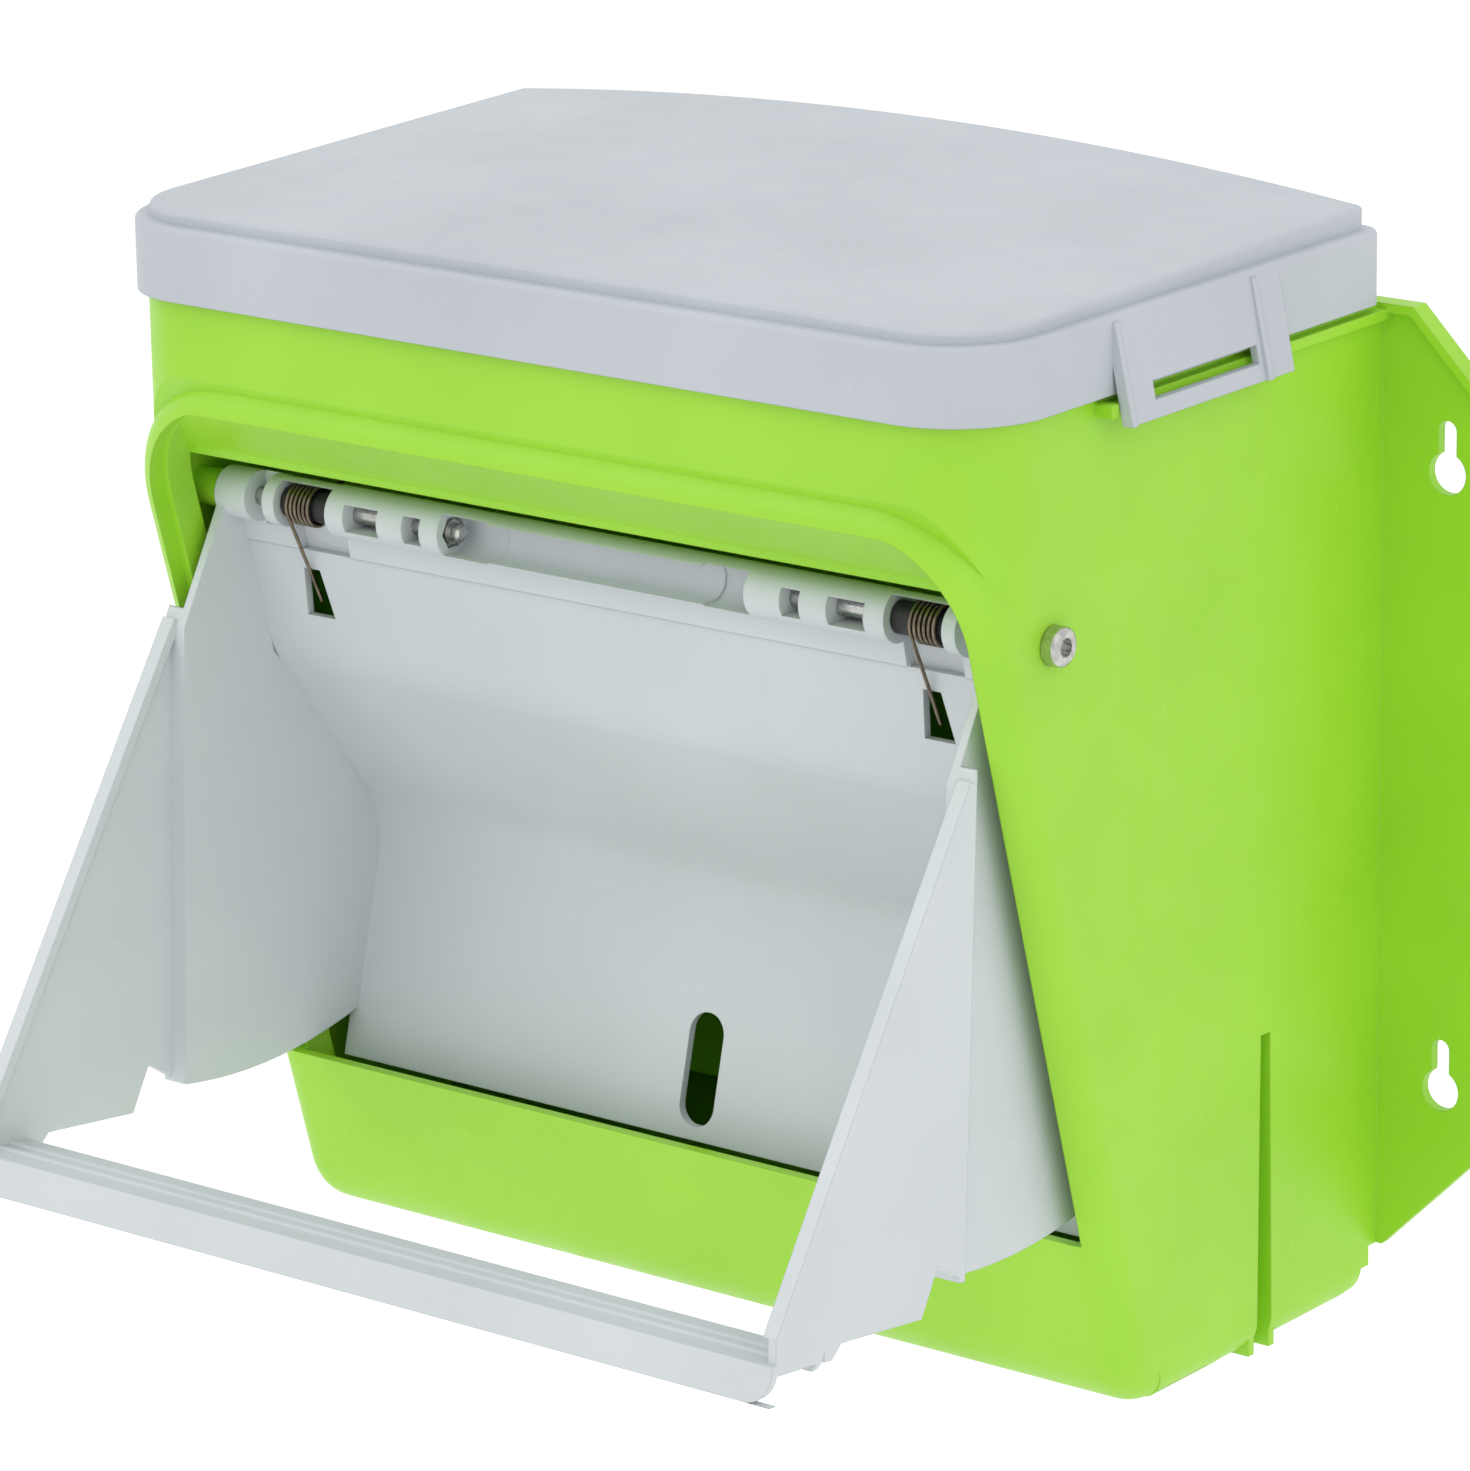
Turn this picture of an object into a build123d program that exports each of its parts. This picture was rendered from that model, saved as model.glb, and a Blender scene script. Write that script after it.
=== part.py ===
from build123d import *
import os
from math import asin, atan2, cos, hypot, pi, radians, sin, sqrt, tan

# Wall-hung poultry feeder with a lift-off lid and a sprung treadle flap.
# Millimetres. X across, Y from the front (-) to the wall (0), Z up.
# The origin is on the wall plane, at the centre of the four keyholes.

# Housing
housing_width = 285.0
housing_height = 294.3
housing_depth = 182.0
bottom_drop = 147.0
wall = 2.5
body_corner = 24.0
body_rear_corner = 3.0
rear_gap = 10.0

# Sloped front frame of the housing
frame_drop = 38.8
frame_lead = 3.3
frame_slope = 15.5
frame_corner = 36.0
frame_round = 10.0
frame_foot_round = 18.0
frame_band_top = 8.0
frame_band_side = 7.2
body_setback = 13.5
body_foot_round = 9.0
ledge_width = 2.8
ledge_depth = 5.0
ledge_wall = 9.0
lip_wall = 3.0
trough_height = 50.2
trough_round = 15.0

# Roof of the feeding chamber, the wall behind it, the throat and the floor
soffit_run = 18.3
soffit_fall = 15.0
roof_drop = 2.0
roof_reach = 13.0
throat_depth = 54.0
throat_drop = 7.5
throat_foot = 55.5
floor_front = 80.0
floor_rise = 37.5

# Wall flanges, keyholes and stiffening ribs
keyhole_pitch_x = 325.0
keyhole_pitch_z = 170.0
keyhole_round = 5.7
keyhole_slot = 2.75
keyhole_rise = 11.5
flange_reach = 33.0
flange_thick = 3.0
flange_top_drop = 18.3
flange_foot = 14.5
flange_top_chamfer = 22.0
flange_foot_chamfer = 31.0
flange_lip_depth = 6.2
flange_lip_wall = 2.5
foot_gap = 6.5
rib_wall = 2.0
rib_pitch = 93.0

# Side grooves and side rails
groove_back = 56.7
groove_height = 89.0
groove_top_width = 4.3
groove_foot_width = 7.0
groove_depth = 5.5
rail_drop = 19.8
rail_height = 3.0
rail_reach = 2.9
rail_length = 129.2
rail_knob_length = 3.2
rail_knob_height = 3.8
rail_knob_reach = 5.4
rail_knob_round = 0.9

# Hinge screws and nuts
hinge_back = 152.0
hinge_height = 217.0
screw_radius = 2.5
screw_length = 95.0
screw_head_radius = 5.2
screw_head_height = 4.2
screw_recess_radius = 2.6
screw_recess_depth = 1.8
nut_flats = 8.0
nut_height = 5.2
nut_collar = 1.2
nut_collar_radius = 3.4
thread_gap = 0.02
boss_radius = 5.2
running_gap = 0.06
side_gap = 0.6
seat_gap = 0.3
nut_gap = 0.1
head_gap = 0.2

# Flap, from the hinge axis: back is plus, down is minus
flap_travel = 18.5
flap_wall = 2.5
barrel_radius = 7.0
wing_gap = 3.0
wing_step = 5.2
arc_radius = 163.5
panel_top = (2.0, -6.0)
panel_knee = (12.0, -47.5)
panel_bend = (55.5, -104.2)
panel_foot = (38.0, -171.5)
panel_round = 26.0
wing_brow = (-5.5, -1.5)
wing_shoulder = (-20.0, -27.0)
wing_top = (-23.5, -30.9)
wing_nose = (-105.0, -152.5)
wing_toe = (-105.5, -161.9)
wing_foot = ((-83.0, -164.6), (-79.0, -161.4))
wing_heel = (-46.0, -165.5)
wing_instep = (-39.0, -153.5)
edge_width = 3.0
edge_thick = 4.2
bar_corner = (-107.0, -158.8)
bar_tilt = 7.0
bar_depth = 21.0
bar_lip = 10.5
bar_back_lip = 5.0
bar_wall = 2.4
bar_end_round = 8.0
ridge_height = 0.9
ridge_places = (7.5, 13.0)
slot_radius = 5.8
slot_length = 30.5
slot_drop = 152.8
slot_shift = -5.2

# Openings along the flap's barrel, as distances from the middle;
# the windows, bays and springs are all moved to the right by a shift
channel_end = 36.0
channel_radius = 5.0
nut_inner = 51.0
pocket_radius = 5.6
window_spans = ((60.0, 66.0), (74.8, 86.5))
window_half_height = 3.7
window_depth = 4.0
end_gap = (115.2, 121.3)
end_gap_depth = 2.0
bay_start = 92.9
bay_end = 111.0
bay_radius = 6.3
bay_drop = 14.0
leg_channel_height = 3.0
leg_window_top = -19.8
leg_window_foot = -33.9
leg_window_widths = (5.6, 9.8)
leg_window_lean = 0.8
flap_shift = 2.6

# Springs and their sleeves
wire_radius = 0.52
coil_radius = 5.4
coil_turns = 5
coil_pitch = 1.48
coil_start = 99.9
sleeve_start = 93.2
sleeve_end = 110.7
sleeve_radius = 4.4
housing_leg = 18.3
flap_leg = (9.3, -29.5)

# Feed baffle
baffle_thick = 2.0
baffle_height = 59.0
baffle_lap = 7.5
shelf_width = 6.5
shelf_height = 4.0

# Lid
lid_wall = 2.2
lid_clearance = 0.8
lid_skirt = 20.0
lid_rear_round = 6.0
lid_step = 4.0
lid_rise = 2.8
lid_crown = 11.0
lid_corner_rise = 1.5
lid_edge_round = 1.6
lid_crown_round = 1.2
latch_front = 55.0
latch_length = 73.0
latch_drop = 7.6
latch_flare = 5.2
latch_wall = 2.2
latch_window_span = (12.5, 58.3)
latch_window_height = 4.8
latch_window_foot = 4.5
fin_wall = 2.2
fin_proud = 1.0
fin_places = (0.0, 60.2)

# Places worked out from the sizes above
bottom_z = -bottom_drop
top_z = bottom_z + housing_height
front_y = -housing_depth
rear_y = -rear_gap
half_width = housing_width / 2
inner_half = half_width - wall
lean = radians(frame_slope)
frame_top = top_z - frame_drop
opening_top = frame_top - frame_band_top
frame_y = front_y - frame_lead
opening_half = half_width - frame_band_side
ledge_half = opening_half - ledge_width
lip_z = bottom_z + trough_height
hinge_y = -hinge_back
hinge_z = bottom_z + hinge_height
wing_half = ledge_half - wing_gap
outer_half = wing_half + wing_step
frame_distance = (hinge_y - frame_y) * cos(lean) - (opening_top - hinge_z) * sin(lean)
soffit_y = frame_y + soffit_run
soffit_z = opening_top - soffit_fall
roof_z = soffit_z - roof_drop
roof_y = hinge_y + roof_reach
throat_y = -throat_depth
throat_z = -throat_drop
throat_foot_z = -throat_foot
floor_z = bottom_z + wall
groove_inner = half_width - groove_depth - wall
groove_top = bottom_z + groove_height
baffle_z = throat_foot_z + baffle_lap - baffle_height
bore_radius = screw_radius + running_gap
nut_outer = nut_inner + nut_height
lid_half = half_width + lid_clearance + lid_wall
lid_front = front_y - lid_clearance - lid_wall
lid_rear = rear_y + lid_clearance + lid_wall
lid_corner = body_corner + lid_clearance + lid_wall
lid_top = top_z + lid_wall
lid_bottom = lid_top - lid_skirt

side_view = Plane(origin=(0, 0, 0), x_dir=(0, 1, 0), z_dir=(1, 0, 0))
hinge_view = Plane(origin=(0, hinge_y, hinge_z), x_dir=(0, 1, 0), z_dir=(1, 0, 0))
sides = (-1, 1)


def frame_at(z, depth=0.0):
    """Y of the frame's front at a height, or of a plane that deep behind it."""
    return frame_y + (opening_top - z) * tan(lean) + depth / cos(lean)


def frame_plane(depth):
    """The frame's sloped plane, moved back by a depth, facing forwards."""
    return Plane(origin=(0, frame_at(0, depth), 0), x_dir=(1, 0, 0), z_dir=(0, -cos(lean), -sin(lean)))


def across(a, b, view=side_view):
    """A plane square to X at the nearer end of a span, and the span's length."""
    return view.offset(min(a, b)), abs(b - a)


def meet(a, b, c, d):
    """The point where the line through a and b meets the line through c and d."""
    ux, uy = b[0] - a[0], b[1] - a[1]
    vx, vy = d[0] - c[0], d[1] - c[1]
    t = ((c[0] - a[0]) * vy - (c[1] - a[1]) * vx) / (ux * vy - uy * vx)
    return (a[0] + ux * t, a[1] + uy * t)


# Chamber profile: the space in front of the inner wall, with the trough
def floor_at(y):
    """Height of the sloping floor at a place between its foot and the rear wall."""
    return floor_z + floor_rise * (y + floor_front) / (floor_front + rear_y - wall)


throat_back = throat_y + wall + 1.5
front_reach = frame_y - 20
chamber_profile = [
    (front_reach, opening_top + (frame_y - front_reach) * soffit_fall / soffit_run),
    (soffit_y, soffit_z),
    (soffit_y, roof_z),
    (roof_y, roof_z),
    (throat_y, throat_z),
    (throat_y, throat_foot_z),
    (throat_back, throat_foot_z),
    (throat_back, floor_at(throat_back)),
    (-floor_front, floor_z),
    (front_reach, floor_z),
]

with BuildPart() as chamber:
    with BuildSketch(side_view):
        with BuildLine():
            Polyline(chamber_profile, close=True)
        make_face()
    extrude(amount=inner_half, both=True)
    split(bisect_by=frame_plane(ledge_depth + ledge_wall), keep=Keep.BOTTOM)
    with BuildSketch(Plane.XZ.offset(-throat_back)) as chamber_outline:
        with Locations((0, (frame_top - wall + bottom_z) / 2)):
            Rectangle(2 * inner_half, frame_top - wall - bottom_z)
        fillet(chamber_outline.vertices().group_by(Axis.Y)[-1], frame_corner - wall)
    extrude(amount=throat_back - front_reach, mode=Mode.INTERSECT)


def mouth_tool(half, corner, depth, keep_front):
    """The part of the chamber profile inside a round-topped opening of the frame."""
    with BuildPart() as tool:
        with BuildSketch(Plane.XZ.offset(-throat_y)) as outline:
            with Locations((0, (opening_top + lip_z) / 2)):
                Rectangle(2 * half, opening_top - lip_z)
            fillet(outline.vertices().group_by(Axis.Y)[-1], corner)
        extrude(amount=throat_y - front_reach)
        if keep_front:
            split(bisect_by=frame_plane(depth), keep=Keep.TOP)
        with BuildSketch(side_view):
            with BuildLine():
                Polyline(chamber_profile, close=True)
            make_face()
        extrude(amount=half, both=True, mode=Mode.INTERSECT)
    return tool.part


front_mouth = mouth_tool(opening_half, frame_corner - frame_band_side, ledge_depth, True)
inner_mouth = mouth_tool(ledge_half, frame_corner - frame_band_side - ledge_width, 0, False)

with BuildPart() as trough_space:
    with BuildSketch(side_view):
        with BuildLine():
            Polyline(
                (frame_at(lip_z, -1), lip_z),
                (-floor_front, lip_z),
                (-floor_front, floor_z),
                (frame_at(floor_z, -1), floor_z),
                close=True,
            )
        make_face()
    extrude(amount=ledge_half, both=True)
    split(bisect_by=frame_plane(lip_wall), keep=Keep.BOTTOM)
    trough_foot = trough_space.edges().filter_by(Axis.X).group_by(Axis.Z)[0]
    fillet(trough_foot.sort_by(Axis.Y)[0], trough_round)

# Hopper: all the space behind the front wall and the inner wall
slope_angle = atan2(roof_z - throat_z, throat_y - roof_y)
slope_shift = (wall * sin(slope_angle), wall * cos(slope_angle))
slope_a = (roof_y + slope_shift[0], roof_z + slope_shift[1])
slope_b = (throat_y + slope_shift[0], throat_z + slope_shift[1])
soffit_slope = soffit_fall / soffit_run
soffit_lift = wall * sqrt(1 + soffit_slope ** 2)
hopper_front = front_y + wall
shoulder_z = frame_top - frame_corner
slant_run = frame_at(shoulder_z, body_setback) - front_y
slant_wall = wall * hypot(slant_run, frame_corner) / frame_corner
slant_a = (front_y + slant_wall, frame_top)
slant_b = (front_y + slant_wall + slant_run, shoulder_z)
hopper_profile = [
    (hopper_front, top_z + 1),
    meet(slant_a, slant_b, (hopper_front, 0), (hopper_front, 1)),
    meet(slant_a, slant_b, (frame_y, opening_top + soffit_lift), (soffit_y, soffit_z + soffit_lift)),
    meet((frame_y, opening_top + soffit_lift), (soffit_y, soffit_z + soffit_lift),
         (0, roof_z + wall), (1, roof_z + wall)),
    meet(slope_a, slope_b, (0, roof_z + wall), (1, roof_z + wall)),
    meet(slope_a, slope_b, (throat_y + wall, 0), (throat_y + wall, 1)),
    (throat_y + wall, floor_at(throat_y + wall)),
    (rear_y - wall, floor_at(rear_y - wall)),
    (rear_y - wall, top_z + 1),
]

with BuildPart() as hopper:
    with BuildSketch(Plane.XY.offset(bottom_z)) as hopper_plan:
        with Locations((0, (hopper_front + rear_y - wall) / 2)):
            Rectangle(2 * inner_half, rear_y - wall - hopper_front)
        fillet(hopper_plan.vertices().group_by(Axis.Y)[0], body_corner - wall)
    extrude(amount=housing_height + 1)
    with BuildSketch(side_view):
        with BuildLine():
            Polyline(hopper_profile, close=True)
        make_face()
    extrude(amount=half_width, both=True, mode=Mode.INTERSECT)

with BuildPart() as frame_block:
    with BuildSketch(Plane.XZ.offset(-rear_y)) as frame_outline:
        with Locations((0, (frame_top + bottom_z) / 2)):
            Rectangle(housing_width, frame_top - bottom_z)
        fillet(frame_outline.vertices().group_by(Axis.Y)[-1], frame_corner)
    extrude(amount=rear_y - front_reach)
    split(bisect_by=frame_plane(0), keep=Keep.BOTTOM)
    frame_foot = frame_block.edges().filter_by(Axis.X).group_by(Axis.Z)[0]
    fillet(frame_foot.sort_by(Axis.Y)[0], frame_foot_round)
    frame_crown = frame_block.edges().filter_by(Axis.X).group_by(Axis.Z)[-1]
    fillet(frame_crown.sort_by(Axis.Y)[0], frame_round)

with BuildPart() as body_block:
    with BuildSketch(Plane.XY.offset(bottom_z)) as body_plan:
        with Locations((0, (front_y + rear_y) / 2)):
            Rectangle(housing_width, rear_y - front_y)
        fillet(body_plan.vertices().group_by(Axis.Y)[0], body_corner)
        fillet(body_plan.vertices().group_by(Axis.Y)[-1], body_rear_corner)
    extrude(amount=housing_height)
    with BuildSketch(side_view):
        Polygon(
            (front_reach, bottom_z - 1),
            (frame_at(bottom_z - 1, body_setback), bottom_z - 1),
            (frame_at(shoulder_z, body_setback), shoulder_z),
            (front_y, frame_top),
            (front_reach, frame_top),
            align=None,
        )
    extrude(amount=housing_width, both=True, mode=Mode.SUBTRACT)
    fillet(body_block.edges().filter_by(Axis.Y).group_by(Axis.Z)[0], body_foot_round)


def groove_outline(extra):
    """One tapered side groove in the side view, widened all round by extra."""
    top_half = groove_top_width / 2 + extra
    foot_half = groove_foot_width / 2 + extra
    Polygon(
        (-groove_back - foot_half, bottom_z),
        (-groove_back + foot_half, bottom_z),
        (-groove_back + top_half, groove_top + extra),
        (-groove_back - top_half, groove_top + extra),
        align=None,
    )


with BuildPart() as housing:
    # Shell: rounded box, sloped frame, then the spaces inside
    add(body_block.part)
    add(frame_block.part)
    add(hopper.part, mode=Mode.SUBTRACT)
    add(chamber.part, mode=Mode.SUBTRACT)
    add(front_mouth, mode=Mode.SUBTRACT)
    add(inner_mouth, mode=Mode.SUBTRACT)
    add(trough_space.part, mode=Mode.SUBTRACT)
    # Hollow under the sloping floor, open below
    with BuildSketch(side_view):
        with BuildLine():
            Polyline(
                (-floor_front + wall, bottom_z - 1),
                (-floor_front + wall, floor_at(-floor_front) - wall),
                (rear_y - wall, floor_at(rear_y - wall) - wall - 0.5),
                (rear_y - wall, bottom_z - 1),
                close=True,
            )
        make_face()
    extrude(amount=inner_half, both=True, mode=Mode.SUBTRACT)
    # Wall flanges, the side walls' way back to them and the shelf on top
    flange_top = top_z - flange_top_drop
    flange_foot_z = bottom_z + flange_foot
    flange_edge = half_width + flange_reach
    with BuildSketch(Plane.XZ):
        for side in sides:
            with BuildLine():
                Polyline(
                    (side * inner_half, flange_top),
                    (side * (flange_edge - flange_top_chamfer), flange_top),
                    (side * flange_edge, flange_top - flange_top_chamfer),
                    (side * flange_edge, flange_foot_z + flange_foot_chamfer),
                    (side * (flange_edge - flange_foot_chamfer), flange_foot_z),
                    (side * inner_half, flange_foot_z),
                    close=True,
                )
            make_face()
        with GridLocations(keyhole_pitch_x, keyhole_pitch_z, 2, 2):
            Circle(keyhole_round, mode=Mode.SUBTRACT)
            with Locations((0, keyhole_rise / 2)):
                Rectangle(2 * keyhole_slot, keyhole_rise, mode=Mode.SUBTRACT)
            with Locations((0, keyhole_rise)):
                Circle(keyhole_slot, mode=Mode.SUBTRACT)
    extrude(amount=flange_thick)
    # Lip along the top and the upper chamfer of each flange
    lip_rise = flange_lip_wall * sqrt(2)
    lip_turn = flange_lip_wall * (sqrt(2) - 1)
    with BuildSketch(Plane.XZ):
        for side in sides:
            Polygon(
                (side * inner_half, flange_top),
                (side * (flange_edge - flange_top_chamfer), flange_top),
                (side * flange_edge, flange_top - flange_top_chamfer),
                (side * flange_edge, flange_top - flange_top_chamfer - lip_rise),
                (side * (flange_edge - flange_top_chamfer - lip_turn), flange_top - flange_lip_wall),
                (side * inner_half, flange_top - flange_lip_wall),
                align=None,
            )
    extrude(amount=flange_lip_depth)
    for side in sides:
        plane, length = across(side * inner_half, side * half_width)
        with BuildSketch(plane):
            Polygon(
                (rear_y - body_rear_corner, bottom_z + body_foot_round),
                (-foot_gap, bottom_z + body_foot_round),
                (-foot_gap, flange_foot_z),
                (0, flange_foot_z),
                (0, flange_top),
                (rear_y - body_rear_corner, flange_top),
                align=None,
            )
        extrude(amount=length)
    with BuildSketch(Plane.XY.offset(flange_top)):
        with Locations((0, rear_y / 2 - 0.5)):
            Rectangle(housing_width, rear_gap + 1)
    extrude(amount=-wall)
    with BuildSketch(Plane.XY.offset(flange_foot_z)):
        with Locations((-rib_pitch / 2, rear_y / 2 - 0.5), (rib_pitch / 2, rear_y / 2 - 0.5)):
            Rectangle(rib_wall, rear_gap + 1)
    extrude(amount=flange_top - flange_foot_z)
    # Side grooves: a wall round each, then the groove cut from outside
    for side in sides:
        plane, length = across(side * groove_inner, side * (half_width - 1))
        with BuildSketch(plane):
            groove_outline(wall)
        extrude(amount=length)
        plane, length = across(side * (half_width - groove_depth), side * (half_width + 1))
        with BuildSketch(plane):
            groove_outline(0)
        extrude(amount=length, mode=Mode.SUBTRACT)
    # Shelves that the baffle stands on
    for side in sides:
        plane, length = across(side * (groove_inner - shelf_width), side * (groove_inner + 0.5))
        with BuildSketch(plane):
            with Locations((throat_y - seat_gap - baffle_thick / 2, baffle_z - shelf_height / 2)):
                Rectangle(baffle_thick + 4, shelf_height)
        extrude(amount=length)
    # Rails that the lid's latches hook over, each with a knob at its front
    rail_z = top_z - rail_drop
    for side in sides:
        plane, length = across(side * (half_width - 0.5), side * (half_width + rail_reach))
        with BuildSketch(plane):
            with Locations((-flange_thick - rail_length / 2, rail_z - rail_height / 2)):
                Rectangle(rail_length, rail_height)
        extrude(amount=length)
        plane, length = across(side * (half_width - 0.5), side * (half_width + rail_knob_reach))
        with BuildSketch(plane):
            with Locations((-flange_thick - rail_length, rail_z - rail_height / 2)):
                RectangleRounded(rail_knob_length, rail_knob_height, rail_knob_round)
        extrude(amount=length)
    # Hinge bosses and their bores
    for side in sides:
        plane, length = across(side * (wing_half + side_gap), side * (inner_half + 0.5), hinge_view)
        with BuildSketch(plane):
            Circle(boss_radius)
        extrude(amount=length)
        plane, length = across(side * wing_half, side * (half_width + 1), hinge_view)
        with BuildSketch(plane):
            Circle(bore_radius)
        extrude(amount=length, mode=Mode.SUBTRACT)

# Turns of the springs, and where their lower legs run
leg_angle = atan2(flap_leg[1], flap_leg[0])
leg_reach = hypot(*flap_leg)
leave_angle = leg_angle - radians(90) + asin(coil_radius / leg_reach)
leave_angle = leave_angle % radians(360)
first_angle = radians(90)
last_angle = leave_angle + radians(360) * coil_turns
quarter_count = round((last_angle - first_angle) / radians(90)) + 1
quarter = (last_angle - first_angle) / quarter_count
coil_width = coil_pitch * (last_angle - first_angle) / radians(360)
leg_length = sqrt(leg_reach ** 2 - coil_radius ** 2)
spring_starts = (flap_shift - coil_start, flap_shift + coil_start + coil_width)
leg_drift = leg_length * coil_pitch / hypot(coil_pitch, 2 * pi * coil_radius)

# Flap: one moulding of panel, wings, barrel and perch bar
seat_distance = frame_distance - ledge_depth + seat_gap
seat_lean = radians(flap_travel - frame_slope)
seat_normal = (-cos(seat_lean), sin(seat_lean))
seat_down = (-sin(seat_lean), -cos(seat_lean))


def seat_line(distance, down=0.0):
    """A point on the step's face: so far from the hinge axis, and so far down."""
    return (distance * seat_normal[0] + down * seat_down[0],
            distance * seat_normal[1] + down * seat_down[1])


def seat_at_radius(distance, radius):
    """The point of the step's face at a radius from the hinge axis."""
    return seat_line(distance, sqrt(radius ** 2 - distance ** 2))


def on_radius(a, b, radius):
    """The point between a and b at a radius from the hinge axis."""
    ux, uy = b[0] - a[0], b[1] - a[1]
    qa = ux * ux + uy * uy
    qb = 2 * (a[0] * ux + a[1] * uy)
    qc = a[0] ** 2 + a[1] ** 2 - radius ** 2
    t = (-qb + sqrt(qb * qb - 4 * qa * qc)) / (2 * qa)
    return (a[0] + ux * t, a[1] + uy * t)


step_back = seat_distance
step_front = seat_distance + flap_wall
step_top_back = meet(wing_brow, wing_shoulder, seat_line(step_back), seat_line(step_back, 10))
step_top_front = meet(wing_brow, wing_shoulder, seat_line(step_front), seat_line(step_front, 10))
step_foot_back = seat_at_radius(step_back, arc_radius)
step_foot_front = seat_at_radius(step_front, arc_radius)
panel_arc = on_radius(panel_bend, panel_foot, arc_radius)
arc_middle = (step_foot_front[0] + panel_arc[0], step_foot_front[1] + panel_arc[1])
arc_scale = arc_radius / hypot(*arc_middle)
arc_middle = (arc_middle[0] * arc_scale, arc_middle[1] * arc_scale)
edge_length = hypot(wing_nose[0] - wing_top[0], wing_nose[1] - wing_top[1])
edge_in = (-(wing_nose[1] - wing_top[1]) / edge_length * edge_width,
           (wing_nose[0] - wing_top[0]) / edge_length * edge_width)
tilt = radians(bar_tilt)


def on_bar(back, up):
    """A point of the perch bar's section, from its front top corner."""
    return (bar_corner[0] + back * cos(tilt) + up * sin(tilt),
            bar_corner[1] - back * sin(tilt) + up * cos(tilt))


def barrel_cut(a, b, radius, back=0.0, half_height=None):
    """Cut a span of the barrel: a round bore, opened to the front."""
    plane, length = across(a, b, hinge_view)
    height = radius if half_height is None else half_height
    with BuildSketch(plane) as cut:
        if half_height is None:
            Circle(radius)
        with Locations(((back - barrel_radius - 1) / 2, 0)):
            Rectangle(barrel_radius + 1 + back, 2 * height)
    extrude(cut.sketch, amount=length, mode=Mode.SUBTRACT)


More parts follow.
